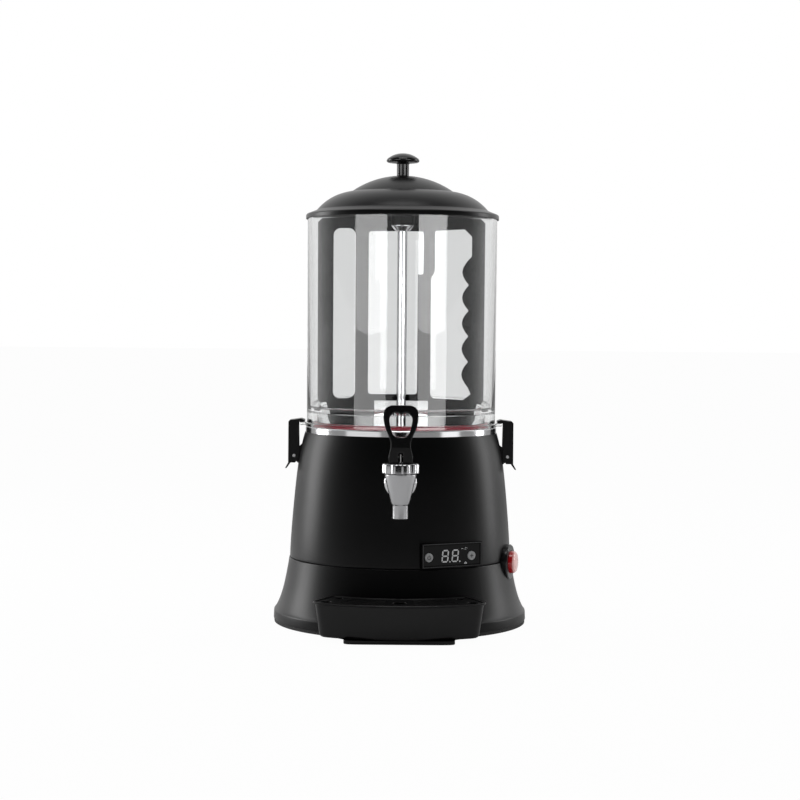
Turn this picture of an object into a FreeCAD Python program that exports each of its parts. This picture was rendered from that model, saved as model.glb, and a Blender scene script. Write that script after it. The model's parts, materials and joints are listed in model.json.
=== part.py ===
"""Countertop hot chocolate dispenser: a clear tank with a stirrer over a heated bowl, a tap and a drip tray.

Frame: +Z up, the tank's axis on Z, the front (tap side) towards -Y, z = 0 on the worktop. Millimetres.
"""

import FreeCAD, Part
import math
import os

from FreeCAD import Vector as V

# Overall sizes
total_height = 580.0
base_radius = 156.0
foot_height = 4.0
seam_z = 79.0
housing_top_z = 233.0
housing_top_radius = 119.0
tank_top_z = 500.0
tank_top_radius = 117.9
tank_foot_radius = 116.8
gap = 0.3

# Sheet and moulding thicknesses
housing_wall = 1.5
skirt_wall = 2.4
tank_wall = 5.0
lid_wall = 2.2

# Upper housing and skirt, radii at heights that are fractions of each part's own height
seam_radius = 136.4
skirt_top_radius = seam_radius + 0.8
rim_band_height = 12.0
base_plate_thickness = 2.5

# Bowl and water jacket
bowl_rim_height = 7.7
bowl_wall = 1.5
bowl_mouth_radius = 99.5
bowl_floor_radius = 92.0
bowl_floor_z = 158.0
jacket_radius = 111.0
jacket_wall = 1.2
jacket_floor_z = bowl_floor_z - 16.0

# Tank foot
tank_flange_height = 3.8
tank_flange_lip = 2.5
tank_ledge_z = 263.0
tank_skirt_inner_radius = 100.5
tank_skirt_wall = 4.0
seal_height = 4.8
ear_reach = 125.4
ear_width = 18.0

# Lid and knob
lid_hem_radius = 120.0
lid_crease_radius = 64.0
lid_crease_z = 531.5
lid_apex_z = 552.0
lid_collar_drop = 4.4
knob_radius = 20.8
knob_cap_height = 12.0
knob_stem_radius = 7.6

# Stirrer
column_radius = 6.2
column_wall = 1.6
shaft_radius = 4.0
running_clearance = 0.05
column_top_z = 478.0
paddle_thickness = 3.2
paddle_offset = 19.0
paddle_top_z = 495.0
paddle_left = -105.0
paddle_right = 102.0

# Tap
tap_reach = 174.0
tap_port_z = 181.0
spout_tip_z = 143.4
spout_radius = 9.1
tap_body_top_z = 194.4
bonnet_radius = 21.5
bonnet_height = 12.5
handle_top_z = 273.6
handle_thickness = 9.0
handle_pin_z = 214.5
stem_radius = 2.4
pin_radius = 1.3

# Control panel, red button and latches: azimuth is the angle from the front towards +X
panel_azimuth = 27.0
panel_width = 80.0
panel_height = 29.3
panel_low_z = 80.7
panel_border = 2.6
key_radius = 5.2
key_z = 93.5
key_offsets = {"left": -31.0, "right": 26.0}
button_azimuth = 73.0
button_z = 77.7
button_bezel_radius = 21.4
button_cap_radius = 13.4
latch_pivot_x = 132.2
latch_pivot_z = 204.0
latch_width = 24.0
latch_outer_x = 139.4

# Drip tray
tray_top_z = 46.5
tray_floor_z = 5.0
tray_front_radius = 199.0
tray_wall = 2.0
tray_skirt_gap = 0.6
tray_side_back = 76.0
tray_side_front = 101.5

parts = {}


def keep(name, shape):
    """Stores a solid under its node's name."""
    parts[name] = shape
    return shape


def box(x0, x1, y0, y1, z0, z1):
    return Part.makeBox(x1 - x0, y1 - y0, z1 - z0, V(x0, y0, z0))


def rod(radius, start, end):
    """A round bar between two points."""
    line = V(*end) - V(*start)
    return Part.makeCylinder(radius, line.Length, V(*start), line)


def tube(outer, inner, z0, z1, x=0.0, y=0.0):
    return rod(outer, (x, y, z0), (x, y, z1)).cut(rod(inner, (x, y, z0 - 1), (x, y, z1 + 1)))


def chords(edge, count):
    """The (radius, height) corners of an edge in the XZ plane, divided into short straight chords."""
    return [(p.x, p.z) for p in edge.discretize(count + 1)]


def curve(points, count):
    """A smooth line through (radius, height) points, as chords."""
    spline = Part.BSplineCurve()
    spline.interpolate([V(r, 0, z) for r, z in points])
    return chords(spline.toShape(), count)


def arc(a, b, c, count=3):
    """The arc through three (radius, height) points, as chords."""
    edge = Part.Arc(V(a[0], 0, a[1]), V(b[0], 0, b[1]), V(c[0], 0, c[1])).toShape()
    return chords(edge, count)


def dome_arc(radius, edge_z, apex_z, count=4):
    """The arc of a ball's cap from its edge up to its apex on the axis."""
    rise = apex_z - edge_z
    ball = (radius**2 + rise**2) / (2 * rise)
    half = radius / 2
    mid = (half, apex_z - ball + math.sqrt(ball**2 - half**2))
    return arc((radius, edge_z), mid, (0.0, apex_z), count)


def profile(*pieces):
    """A closed wire in the XZ plane through corner points and lists of corner points."""
    corners = []
    for piece in pieces:
        for r, z in piece if isinstance(piece, list) else [piece]:
            point = V(r, 0, z)
            if not corners or corners[-1].distanceToPoint(point) > 1e-4:
                corners.append(point)
    if corners[0].distanceToPoint(corners[-1]) < 1e-4:
        corners.pop()
    return Part.makePolygon(corners + corners[:1])


def turned(*pieces, angle=360.0, x=0.0, y=0.0):
    """A solid of revolution about Z, moved to (x, y)."""
    solid = Part.Face(profile(*pieces)).revolve(V(0, 0, 0), V(0, 0, 1), angle)
    solid.translate(V(x, y, 0))
    return solid


def slab(points, y0, y1):
    """An outline of (x, z) points drawn through the depth y0 to y1."""
    wire = Part.makePolygon([V(x, y0, z) for x, z in points + points[:1]])
    return Part.Face(wire).extrude(V(0, y1 - y0, 0))


def plate(points, z0, z1):
    """An outline of (x, y) points drawn through the height z0 to z1."""
    wire = Part.makePolygon([V(x, y, z0) for x, y in points + points[:1]])
    return Part.Face(wire).extrude(V(0, 0, z1 - z0))


def rounded_slab(x0, x1, z0, z1, radius, y0, y1):
    """A rectangle in the XZ plane with its four corners rounded, drawn through the depth."""
    solid = box(x0, x1, y0, y1, z0, z1)
    upright = [e for e in solid.Edges if abs(e.tangentAt(e.FirstParameter).y) > 0.99]
    return solid.makeFillet(radius, upright)


def turn_to(shape, azimuth):
    """A copy of a shape built facing the front, turned to its azimuth on the machine."""
    copy = shape.copy()
    copy.rotate(V(0, 0, 0), V(0, 0, 1), azimuth)
    return copy


def mirrored(shape):
    return shape.mirror(V(0, 0, 0), V(1, 0, 0))


# Body outlines


def housing_points(inset=0.0):
    """The upper housing leans in slowly, then rounds in under the bowl's rim."""
    height = housing_top_z - seam_z
    lean = seam_radius - housing_top_radius
    shares = [(0.0, 0.0), (0.18, 0.065), (0.46, 0.26), (0.72, 0.50), (1.0, 1.0)]
    line = curve([(seam_radius - lean * b, seam_z + height * a) for a, b in shares], 4)
    return [(r - inset, z) for r, z in line]


def skirt_points(inset=0.0):
    """The skirt flares out in a hollow curve down to its rim band."""
    low = foot_height + rim_band_height
    height = seam_z - low
    flare = base_radius - 2.0 - skirt_top_radius
    shares = [(1.0, 0.0), (0.68, 0.18), (0.38, 0.45), (0.16, 0.74), (0.0, 1.0)]
    line = curve([(skirt_top_radius + flare * b, low + height * a) for a, b in shares], 5)
    return [(r - inset, z) for r, z in line]


def radius_at(points, z):
    """The outline's radius at a height, between its points."""
    ordered = sorted(points, key=lambda p: p[1])
    for (r0, z0), (r1, z1) in zip(ordered[:-1], ordered[1:]):
        if z0 <= z <= z1:
            return r0 + (r1 - r0) * (z - z0) / (z1 - z0)
    return ordered[0][0] if z < ordered[0][1] else ordered[-1][0]


housing_solid = turned(housing_points(), (0.0, housing_top_z), (0.0, seam_z))
skirt_low_z = foot_height + rim_band_height
skirt_solid = turned(
    skirt_points(),
    (base_radius - 0.6, skirt_low_z - 1.0),
    (base_radius, foot_height),
    (0.0, foot_height),
    (0.0, seam_z),
)
body_solid = housing_solid.fuse(skirt_solid)


# Openings that the casings share

panel_face = radius_at(housing_points(), panel_low_z + panel_height / 2) + 0.9
panel_high_z = panel_low_z + panel_height
panel_half = panel_width / 2
window_half = panel_half - panel_border
panel_hole = turn_to(
    box(
        -window_half, window_half,
        -panel_face - 5, -panel_face + 30,
        panel_low_z + panel_border, panel_high_z - panel_border,
    ),
    panel_azimuth,
)
button_hole_radius = button_bezel_radius - 4.0
button_hole = turn_to(rod(button_hole_radius, (0, -90, button_z), (0, -170, button_z)), button_azimuth)
shank_radius = 8.5
shank_hole = rod(shank_radius + gap, (0, -150, tap_port_z), (0, -100, tap_port_z))


def make_casing():
    inner_top = housing_top_z - housing_wall
    inner = housing_points(housing_wall)
    inner[-1] = (inner[-1][0], inner_top)
    shelf_radius = bowl_mouth_radius + bowl_wall + 8.0
    shell = turned(
        housing_points(),
        (shelf_radius, housing_top_z),
        (shelf_radius, inner_top),
        inner[::-1],
    )
    keep("upper_housing", shell.cut(panel_hole).cut(button_hole).cut(shank_hole))

    plate_top = foot_height + base_plate_thickness
    flange_top = plate_top + 8.0
    flange_in = base_radius - 18.0
    spigot_out = seam_radius - housing_wall - 0.4
    spigot_in = spigot_out - skirt_wall
    spigot_top = seam_z + 1.5
    skirt = turned(
        skirt_points(),
        (base_radius - 0.6, skirt_low_z - 1.0),
        (base_radius, foot_height),
        (base_radius - skirt_wall, foot_height),
        (base_radius - skirt_wall, plate_top),
        (flange_in, plate_top),
        (flange_in, flange_top),
        (base_radius - skirt_wall - 3.0, flange_top),
        skirt_points(skirt_wall)[::-1],
        (spigot_in, seam_z),
        (spigot_in, spigot_top),
        (spigot_out, spigot_top),
        (spigot_out, seam_z),
    )
    screw_y = -(base_radius - 12.0)
    screw_azimuths = (45.0, 135.0, 225.0, 315.0)
    screw_radius = 1.7
    thread_top = flange_top - 2.0
    threads = [turn_to(rod(screw_radius, (0, screw_y, 0), (0, screw_y, thread_top)), a) for a in screw_azimuths]
    keep("lower_skirt", skirt.cut(button_hole).cut(Part.makeCompound(threads)))

    plate_radius = base_radius - skirt_wall - gap
    floor = rod(plate_radius, (0, 0, foot_height), (0, 0, plate_top))
    vents = [
        box(-vent_half, vent_half, y - 2.0, y + 2.0, 0, 20)
        for y, vent_half in ((-66.0, 30.0), (-54.0, 34.0), (-42.0, 36.0), (42.0, 36.0), (54.0, 34.0), (66.0, 30.0))
    ]
    holes = [turn_to(rod(screw_radius + 0.5, (0, screw_y, 0), (0, screw_y, 20)), a) for a in screw_azimuths]
    keep("base_plate", floor.cut(Part.makeCompound(vents + holes)))
    screw = rod(screw_radius, (0, screw_y, foot_height), (0, screw_y, thread_top - 0.8))
    screw = screw.fuse(rod(3.6, (0, screw_y, foot_height - 1.8), (0, screw_y, foot_height)))
    keep("base_screws", Part.makeCompound([turn_to(screw, a) for a in screw_azimuths]))
    keep("foot_ring", tube(base_radius - 0.8, base_radius - 6.5, 0.0, foot_height))


def turned_point(radius, azimuth):
    """The plan point at a radius and an azimuth from the front."""
    angle = math.radians(azimuth)
    return radius * math.sin(angle), -radius * math.cos(angle)


def make_bowl():
    rim_top = housing_top_z + bowl_rim_height
    rim_radius = housing_top_radius - 0.7
    mouth = bowl_mouth_radius
    bowl = turned(
        (rim_radius, housing_top_z),
        (rim_radius, rim_top - 1.2),
        (rim_radius - 1.2, rim_top),
        (mouth, rim_top),
        (bowl_floor_radius, bowl_floor_z + 8.0),
        (bowl_floor_radius - 8.0, bowl_floor_z),
        (column_radius, bowl_floor_z + 2.0),
        (column_radius, bowl_floor_z + 2.0 - bowl_wall),
        (bowl_floor_radius - 8.0, bowl_floor_z - bowl_wall),
        (bowl_floor_radius + bowl_wall, bowl_floor_z + 7.0),
        (mouth + bowl_wall, rim_top - bowl_wall),
        (rim_radius - bowl_wall, rim_top - bowl_wall),
        (rim_radius - bowl_wall, housing_top_z),
    )
    keep("heated_bowl", bowl.cut(rod(shank_radius, (0, -130, tap_port_z), (0, -60, tap_port_z))))

    shelf = bowl_mouth_radius + bowl_wall + 8.0
    top = housing_top_z - housing_wall
    jacket = turned(
        (column_radius, jacket_floor_z),
        (jacket_radius - 6.0, jacket_floor_z),
        (jacket_radius, jacket_floor_z + 6.0),
        (jacket_radius, top - jacket_wall),
        (jacket_radius + 4.0, top - jacket_wall),
        (jacket_radius + 4.0, top),
        (shelf, top),
        (jacket_radius - jacket_wall, top - jacket_wall),
        (jacket_radius - jacket_wall, jacket_floor_z + 6.5),
        (jacket_radius - 6.5, jacket_floor_z + jacket_wall),
        (column_radius, jacket_floor_z + jacket_wall),
    )
    keep("water_jacket", jacket.cut(rod(shank_radius, (0, -130, tap_port_z), (0, -60, tap_port_z))))

    element_radius = 3.5
    element_z = jacket_floor_z + jacket_wall + element_radius
    sides = 6
    ring = turned([
        (68.0 + element_radius * math.cos(2 * math.pi * i / sides),
         element_z + element_radius * math.sin(2 * math.pi * i / sides))
        for i in range(sides)
    ])
    tails = [
        rod(element_radius, (x, 68.0, jacket_floor_z - 14.0), (x, 68.0, element_z))
        for x in (-9.0, 9.0)
    ]
    keep("heating_element", ring.fuse(tails))
    tail_holes = [rod(element_radius, (x, 68.0, 140), (x, 68.0, 153)) for x in (-9.0, 9.0)]
    parts["water_jacket"] = parts["water_jacket"].cut(Part.makeCompound(tail_holes))

    probe_x = 40.0
    probe = rod(3.0, (probe_x, -20, jacket_floor_z - 9), (probe_x, -20, jacket_floor_z + 11))
    probe = probe.fuse(rod(6.0, (probe_x, -20, jacket_floor_z - 5), (probe_x, -20, jacket_floor_z)))
    keep("temperature_sensor", probe)
    parts["water_jacket"] = parts["water_jacket"].cut(
        rod(3.0, (probe_x, -20, jacket_floor_z - 1), (probe_x, -20, jacket_floor_z + 3))
    )

    keep(
        "centre_column",
        tube(column_radius, column_radius - column_wall, jacket_floor_z - 4.0, column_top_z),
    )
    bush_out = column_radius - column_wall
    bush_in = shaft_radius + running_clearance
    keep("lower_bush", tube(bush_out, bush_in, jacket_floor_z + 20, jacket_floor_z + 34))
    keep("upper_bush", tube(bush_out, bush_in, column_top_z - 16, column_top_z - 1))


def make_tank():
    foot_z = housing_top_z + bowl_rim_height + 0.5
    flange_top = foot_z + tank_flange_height
    flange_radius = tank_foot_radius + tank_flange_lip
    ledge_under = tank_ledge_z - tank_wall
    skirt_foot = housing_top_z + bowl_rim_height + seal_height
    inner_top = tank_top_radius - tank_wall
    inner_foot = tank_foot_radius - tank_wall
    skirt_outer = tank_skirt_inner_radius + tank_skirt_wall
    tank = turned(
        (tank_top_radius - 1.0, tank_top_z),
        (tank_top_radius, tank_top_z - 1.0),
        (tank_foot_radius, flange_top),
        (flange_radius, flange_top),
        (flange_radius, foot_z),
        (inner_foot, foot_z),
        (inner_foot, ledge_under),
        (skirt_outer, ledge_under),
        (skirt_outer, skirt_foot),
        (tank_skirt_inner_radius, skirt_foot),
        (tank_skirt_inner_radius, tank_ledge_z),
        (inner_foot - 2.0, tank_ledge_z),
        (inner_foot, tank_ledge_z + 2.0),
        (inner_top, tank_top_z - 1.0),
        (inner_top + 1.0, tank_top_z),
    )
    half = ear_width / 2
    outside = rod(tank_foot_radius - 1.0, (0, 0, foot_z - 1), (0, 0, flange_top + 1))
    ears = [
        box(x0, x1, -half, half, foot_z, flange_top).cut(outside)
        for x0, x1 in ((-ear_reach, -110.0), (110.0, ear_reach))
    ]
    keep("tank_shell", tank.fuse(ears).removeSplitter())
    keep(
        "tank_seal",
        tube(skirt_outer + 4.0, tank_skirt_inner_radius - 0.5, housing_top_z + bowl_rim_height, skirt_foot),
    )


def make_lid():
    hem_z = tank_top_z - 3.0
    hem_top = tank_top_z + lid_wall + 1.0
    shoulder = (tank_top_radius - 11.0, tank_top_z + 8.0)
    crease = (lid_crease_radius, lid_crease_z)
    dome_mid_r = lid_crease_radius / 2
    dome_rise = lid_apex_z - lid_crease_z
    dome_radius = (lid_crease_radius**2 + dome_rise**2) / (2 * dome_rise)
    dome_mid = (dome_mid_r, lid_apex_z - dome_radius + math.sqrt(dome_radius**2 - dome_mid_r**2))
    lower_mid = (
        (shoulder[0] + crease[0]) / 2 + 4.0,
        (shoulder[1] + crease[1]) / 2 + 3.4,
    )
    bore = 2.1
    apex = (bore, lid_apex_z)
    t = lid_wall
    collar_out = tank_top_radius - tank_wall - 1.6
    collar_foot = tank_top_z - lid_collar_drop
    lid = turned(
        apex,
        arc(apex, dome_mid, crease, 4),
        arc(crease, lower_mid, shoulder, 4),
        (lid_hem_radius - 1.5, hem_top),
        (lid_hem_radius, hem_top - 1.5),
        (lid_hem_radius, hem_z),
        (lid_hem_radius - 1.7, hem_z),
        (lid_hem_radius - 1.7, tank_top_z),
        (collar_out, tank_top_z),
        (collar_out - 0.8, collar_foot),
        (collar_out - 2.8, collar_foot),
        (collar_out - 2.8, tank_top_z),
        (shoulder[0] - t, tank_top_z + 2.0),
        arc(
            (shoulder[0] - t, shoulder[1] - t / 2),
            (lower_mid[0] - t / 2, lower_mid[1] - t),
            (crease[0] - t / 3, crease[1] - t),
            3,
        ),
        arc((crease[0] - t / 3, crease[1] - t), (dome_mid[0], dome_mid[1] - t), (bore, apex[1] - t), 3),
    )
    keep("lid_shell", lid)

    cap_z = total_height - knob_cap_height
    stem_z = lid_apex_z + 0.1
    knob = turned(
        (0.0, stem_z + 13.0),
        (1.7, stem_z + 12.0),
        (1.7, stem_z),
        (knob_stem_radius, stem_z),
        (knob_stem_radius, cap_z - 2.0),
        arc((knob_stem_radius, cap_z - 2.0), (knob_stem_radius + 0.6, cap_z - 0.6), (knob_stem_radius + 2, cap_z)),
        (knob_radius - 1.5, cap_z + 0.6),
        arc((knob_radius - 1.5, cap_z + 0.6), (knob_radius, cap_z + 2.2), (knob_radius - 0.8, cap_z + 4.2)),
        dome_arc(knob_radius - 0.8, cap_z + 4.2, total_height),
    )
    keep("lid_knob", knob)
    head_z = lid_apex_z - t - 0.3
    screw = rod(1.7, (0, 0, head_z), (0, 0, stem_z + 11.0))
    head = turned((0.0, head_z), (5.0, head_z), (4.4, head_z - 2.0), (0.0, head_z - 2.6))
    keep("knob_screw", screw.fuse(head))


def wave_edge(x_in, x_out, z_low, z_high, count):
    """A line of half-round scallops for the stirrer's mixing edge, from z_high down to z_low."""
    pitch = (z_high - z_low) / count
    points = []
    steps = 6
    for i in range(count * steps + 1):
        z = z_high - i * pitch / steps
        swing = abs(math.sin(math.pi * i / steps))
        points.append((x_out - (x_out - x_in) * swing, z))
    return points


def paddle_windows():
    """The three openings of the stirrer, in its front view."""
    top = paddle_top_z - 16.5
    low = 268.0
    step_z = 424.0
    y0, y1 = -60.0, 60.0
    left = rounded_slab(paddle_left + 19.0, -58.4, low, top + 3.5, 9.0, y0, y1)
    middle = rounded_slab(-42.2, 20.0, low + 4.5, top, 4.0, y0, y1)
    middle = middle.fuse(rounded_slab(0.0, 27.0, step_z, top, 3.0, y0, y1))
    waves = wave_edge(paddle_right - 27.0, paddle_right - 19.0, 284.0, 444.0, 5)
    edge = paddle_right - 15.5
    right = slab(
        [(36.5, low + 5.0), (40.0, low), (edge - 9.0, low), (edge, low + 8.0)]
        + waves[::-1]
        + [(edge, 448.0), (edge, top - 6.0), (edge - 9.0, top + 3.0), (42.5, top + 1.0), (41.0, top - 1.0)]
        + [(41.0, step_z + 4.0), (36.5, step_z - 4.0)],
        y0,
        y1,
    )
    return Part.makeCompound([left, middle, right])


def make_stirrer():
    low = 247.0
    step = 264.5
    notch = 34.0
    outline = slab(
        [
            (paddle_left, step + 6.0),
            (paddle_left + 3.0, step),
            (paddle_left + 11.0, step),
            (paddle_left + 14.0, low + 5.0),
            (paddle_left + 19.0, low),
            (-notch, low),
            (-notch, step),
            (notch, step),
            (notch, low),
            (paddle_right - 16.0, low),
            (paddle_right - 11.0, low + 5.0),
            (paddle_right - 8.0, step),
            (paddle_right - 3.0, step),
            (paddle_right, step + 6.0),
            (paddle_right, paddle_top_z - 5.0),
            (paddle_right - 5.0, paddle_top_z),
            (paddle_left + 5.0, paddle_top_z),
            (paddle_left, paddle_top_z - 5.0),
        ],
        -60.0,
        60.0,
    )
    t = paddle_thickness
    back = paddle_offset
    strip = plate(
        [
            (-54.0, back), (34.0, back), (paddle_right, -14.0), (paddle_right + 1.0, -14.0 + t),
            (35.5, back + t), (-55.0, back + t), (paddle_left, -4.0 + t), (paddle_left, -4.0),
        ],
        low - 5.0,
        paddle_top_z + 5.0,
    )
    frame = strip.common(outline).cut(paddle_windows())
    hub_radius = 14.5
    hub_low = paddle_top_z - 9.0
    hub_top = paddle_top_z + 4.0
    hub = rod(hub_radius, (0, 0, hub_low), (0, 0, hub_top))
    arm = box(-12.0, 12.0, 2.0, back + t, hub_low + 1.0, paddle_top_z)
    rib = slab([(-2.0, hub_low - 8.0), (2.0, hub_low - 8.0), (2.0, hub_low + 2.0), (-2.0, hub_low + 2.0)], 16.0, back + t)
    paddle = frame.fuse([hub, arm, rib]).cut(rod(shaft_radius, (0, 0, hub_low - 1), (0, 0, hub_top + 1)))
    keep("stirrer_paddle", paddle.removeSplitter())

    cone_low = column_top_z + 0.7
    cone = turned(
        (shaft_radius, cone_low),
        (8.7, cone_low),
        (hub_radius, hub_low - 0.8),
        (hub_radius, hub_low),
        (shaft_radius, hub_low),
    )
    keep("stirrer_cone", cone)
    shaft_low = jacket_floor_z - 28.0
    shaft_top = hub_top + 7.0
    keep("drive_shaft", rod(shaft_radius, (0, 0, shaft_low), (0, 0, shaft_top)))
    hexagon = [(7.5 * math.cos(math.radians(a)), 7.5 * math.sin(math.radians(a))) for a in range(0, 360, 60)]
    nut = plate(hexagon, hub_top, hub_top + 5.0)
    keep("stirrer_nut", nut.cut(rod(shaft_radius, (0, 0, hub_top - 1), (0, 0, hub_top + 9))))
    collar_top = jacket_floor_z - 4.5
    keep("shaft_collar", tube(9.0, shaft_radius, collar_top - 4.5, collar_top))


def make_drive():
    plate_low = jacket_floor_z - 13.0
    bracket = box(-62, 62, -34, 34, plate_low, plate_low + 2.5)
    posts = []
    for x in (-55.0, 55.0):
        for y in (-27.0, 27.0):
            posts.append(rod(4.0, (x, y, plate_low + 2.5), (x, y, jacket_floor_z)))
    hole = rod(11.0, (0, 0, plate_low - 1), (0, 0, plate_low + 4))
    keep("motor_bracket", bracket.fuse(posts).cut(hole))
    case = rounded_slab(-36, 36, -26, 26, 8.0, 0.0, 26.0)
    case.rotate(V(0, 0, 0), V(1, 0, 0), 90)
    case.translate(V(0, 0, plate_low - 26.0))
    bore = rod(shaft_radius + running_clearance, (0, 0, plate_low - 18), (0, 0, plate_low + 2))
    keep("gearbox", case.cut(bore))
    motor_top = plate_low - 26.0
    motor = rod(27.0, (0, 0, motor_top - 46.0), (0, 0, motor_top))
    motor = motor.fuse(rod(9.0, (0, 0, motor_top - 50.0), (0, 0, motor_top - 46.0)))
    keep("gearmotor", motor)


def make_latches():
    px, pz = latch_pivot_x, latch_pivot_z
    half = latch_width / 2
    cheek = 2.0
    plate_in = latch_outer_x - 2.4
    hook_low = housing_top_z + bowl_rim_height + 0.5 + tank_flange_height + 0.4
    hook_top = hook_low + 4.2
    hook_end = tank_foot_radius + tank_flange_lip + 0.4
    low = pz - 9.0
    side = [
        (px - 1.5, low), (px - 6.0, pz - 3.0), (px - 5.0, hook_low), (hook_end, hook_low),
        (hook_end, hook_top - 1.5), (hook_end + 4.0, hook_top), (latch_outer_x - 1.5, hook_top - 2.0),
        (latch_outer_x, hook_top - 4.0), (latch_outer_x, low), (latch_outer_x + 3.8, low - 7.0),
        (latch_outer_x + 2.0, low - 7.0), (plate_in - 0.5, low),
    ]
    lever = slab(side, -half, half)
    pocket = slab(
        [(px - 12.0, low - 1.0), (px - 12.0, hook_low), (plate_in, hook_low), (plate_in, low - 1.0)],
        -half + cheek,
        half - cheek,
    )
    tongue_guard = box(plate_in - 0.01, 200, -half, half, low - 20, low)
    lever = lever.cut(pocket.cut(tongue_guard))
    lever = lever.cut(rod(2.0 + running_clearance, (px, -20, pz), (px, 20, pz)))

    knuckle = half - cheek - gap
    wedge = slab([(px - 20.0, pz + 24.0), (px + 1.0, pz + 4.2), (px + 1.0, pz - 4.2), (px - 20.0, pz - 22.0)],
                 -knuckle, knuckle)
    bracket = wedge.fuse(rod(4.3, (px, -knuckle, pz), (px, knuckle, pz)))
    bracket = bracket.cut(body_solid).cut(rod(2.0, (px, -20, pz), (px, 20, pz)))
    bracket = max(bracket.Solids, key=lambda s: s.Volume)
    pin = rod(2.0, (px, -half - 0.4, pz), (px, half + 0.4, pz))
    for side_name, place in (("right", lambda s: s), ("left", mirrored)):
        keep("latch_lever_" + side_name, place(lever))
        keep("latch_bracket_" + side_name, place(bracket))
        keep("latch_pin_" + side_name, place(pin))


def make_tap():
    y = -tap_reach
    seat_z = spout_tip_z + 22.6
    neck_z = spout_tip_z + 15.0
    shoulder = bonnet_radius - 3.2
    bonnet_z = tap_body_top_z
    outside = turned(
        (0.0, spout_tip_z),
        (spout_radius, spout_tip_z),
        (spout_radius, neck_z),
        (spout_radius + 1.5, neck_z + 2.0),
        (shoulder, bonnet_z - 2.0),
        (shoulder, bonnet_z),
        (0.0, bonnet_z),
        y=y,
    )
    shank_end = bowl_floor_radius - 8.0
    shank = rod(shank_radius, (0, y, tap_port_z), (0, -shank_end, tap_port_z))
    inside = turned(
        (0.0, spout_tip_z - 1.0),
        (6.3, spout_tip_z - 1.0),
        (6.3, seat_z),
        (9.9, seat_z),
        (13.5, bonnet_z + 1.0),
        (0.0, bonnet_z + 1.0),
        y=y,
    )
    port = rod(5.5, (0, y, tap_port_z), (0, 0, tap_port_z))
    keep("tap_body", outside.fuse(shank).cut(inside).cut(port))

    rounded = turned(
        (stem_radius + 0.1, bonnet_z),
        (bonnet_radius - 2.0, bonnet_z),
        arc((bonnet_radius - 2.0, bonnet_z), (bonnet_radius, bonnet_z + bonnet_height / 2),
            (bonnet_radius - 2.0, bonnet_z + bonnet_height)),
        (stem_radius + 0.1, bonnet_z + bonnet_height),
        y=y,
    )
    flats = 10
    apothem = bonnet_radius - 0.7
    corner = apothem / math.cos(math.pi / flats)
    ring = [
        (corner * math.cos(2 * math.pi * (i + 0.5) / flats), y + corner * math.sin(2 * math.pi * (i + 0.5) / flats))
        for i in range(flats)
    ]
    nut = rounded.common(plate(ring, bonnet_z - 1, bonnet_z + bonnet_height + 1))
    hollow = rod(12.5, (0, y, bonnet_z - 1), (0, y, bonnet_z + bonnet_height - 3.5))
    keep("tap_bonnet", nut.cut(hollow))

    pz = handle_pin_z
    stem_top = pz + 2.6
    cup_low = seat_z + 0.1
    stem = rod(stem_radius, (0, y, cup_low + 6.0), (0, y, stem_top))
    stem = stem.fuse(rod(6.0, (0, y, cup_low + 4.0), (0, y, cup_low + 6.0)))
    keep("valve_stem", stem.cut(rod(pin_radius + running_clearance, (-20, y, pz), (20, y, pz))))
    cup = turned(
        (0.0, cup_low),
        (7.6, cup_low),
        (8.8, cup_low + 3.0),
        (9.2, cup_low + 14.0),
        (stem_radius, cup_low + 14.0),
        (stem_radius, cup_low + 6.0),
        (6.0, cup_low + 6.0),
        (6.0, cup_low + 4.0),
        (0.0, cup_low + 4.0),
        y=y,
    )
    keep("seat_cup", cup)

    keep("tap_handle", make_handle(y, bonnet_z + bonnet_height + gap))
    keep("handle_pin", rod(pin_radius, (-13.2, y, pz), (13.2, y, pz)))

    collar_front = radius_at(housing_points(), tap_port_z) + 9.0
    collar = turned(
        (0.0, 0.0),
        (19.8, 0.0),
        (19.8, 12.0),
        arc((19.8, 12.0), (17.6, 16.0), (13.0, 17.5)),
        (0.0, 17.5),
    )
    collar.rotate(V(0, 0, 0), V(1, 0, 0), 90)
    collar.translate(V(0, -collar_front + 17.5, tap_port_z))
    hole = rod(shank_radius, (0, -170, tap_port_z), (0, -80, tap_port_z))
    collar = collar.cut(hole).cut(body_solid)
    keep("tap_collar", max(collar.Solids, key=lambda s: s.Volume))

    gasket_front = bowl_floor_radius + 1.2
    gasket = rod(13.0, (0, -gasket_front + 9.0, tap_port_z), (0, -gasket_front - 9.0, tap_port_z)).cut(hole)
    inside_bowl = turned(
        (0.0, bowl_floor_z + 8.0),
        (bowl_floor_radius, bowl_floor_z + 8.0),
        (bowl_mouth_radius, housing_top_z + bowl_rim_height),
        (0.0, housing_top_z + bowl_rim_height),
    )
    back = box(-30, 30, -bowl_floor_radius + 3.0, 0, 150, 220)
    keep("tap_gasket", gasket.common(inside_bowl).cut(back))
    across = 24.0
    nut_ring = [
        (across / 2 / math.cos(math.pi / 6) * math.cos(math.radians(a)),
         across / 2 / math.cos(math.pi / 6) * math.sin(math.radians(a)))
        for a in range(30, 390, 60)
    ]
    locknut = plate(nut_ring, 0.0, 5.0)
    locknut.rotate(V(0, 0, 0), V(1, 0, 0), 90)
    locknut.translate(V(0, -bowl_floor_radius + 3.0 + 5.0, tap_port_z))
    keep("tap_locknut", locknut.cut(hole))


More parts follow.
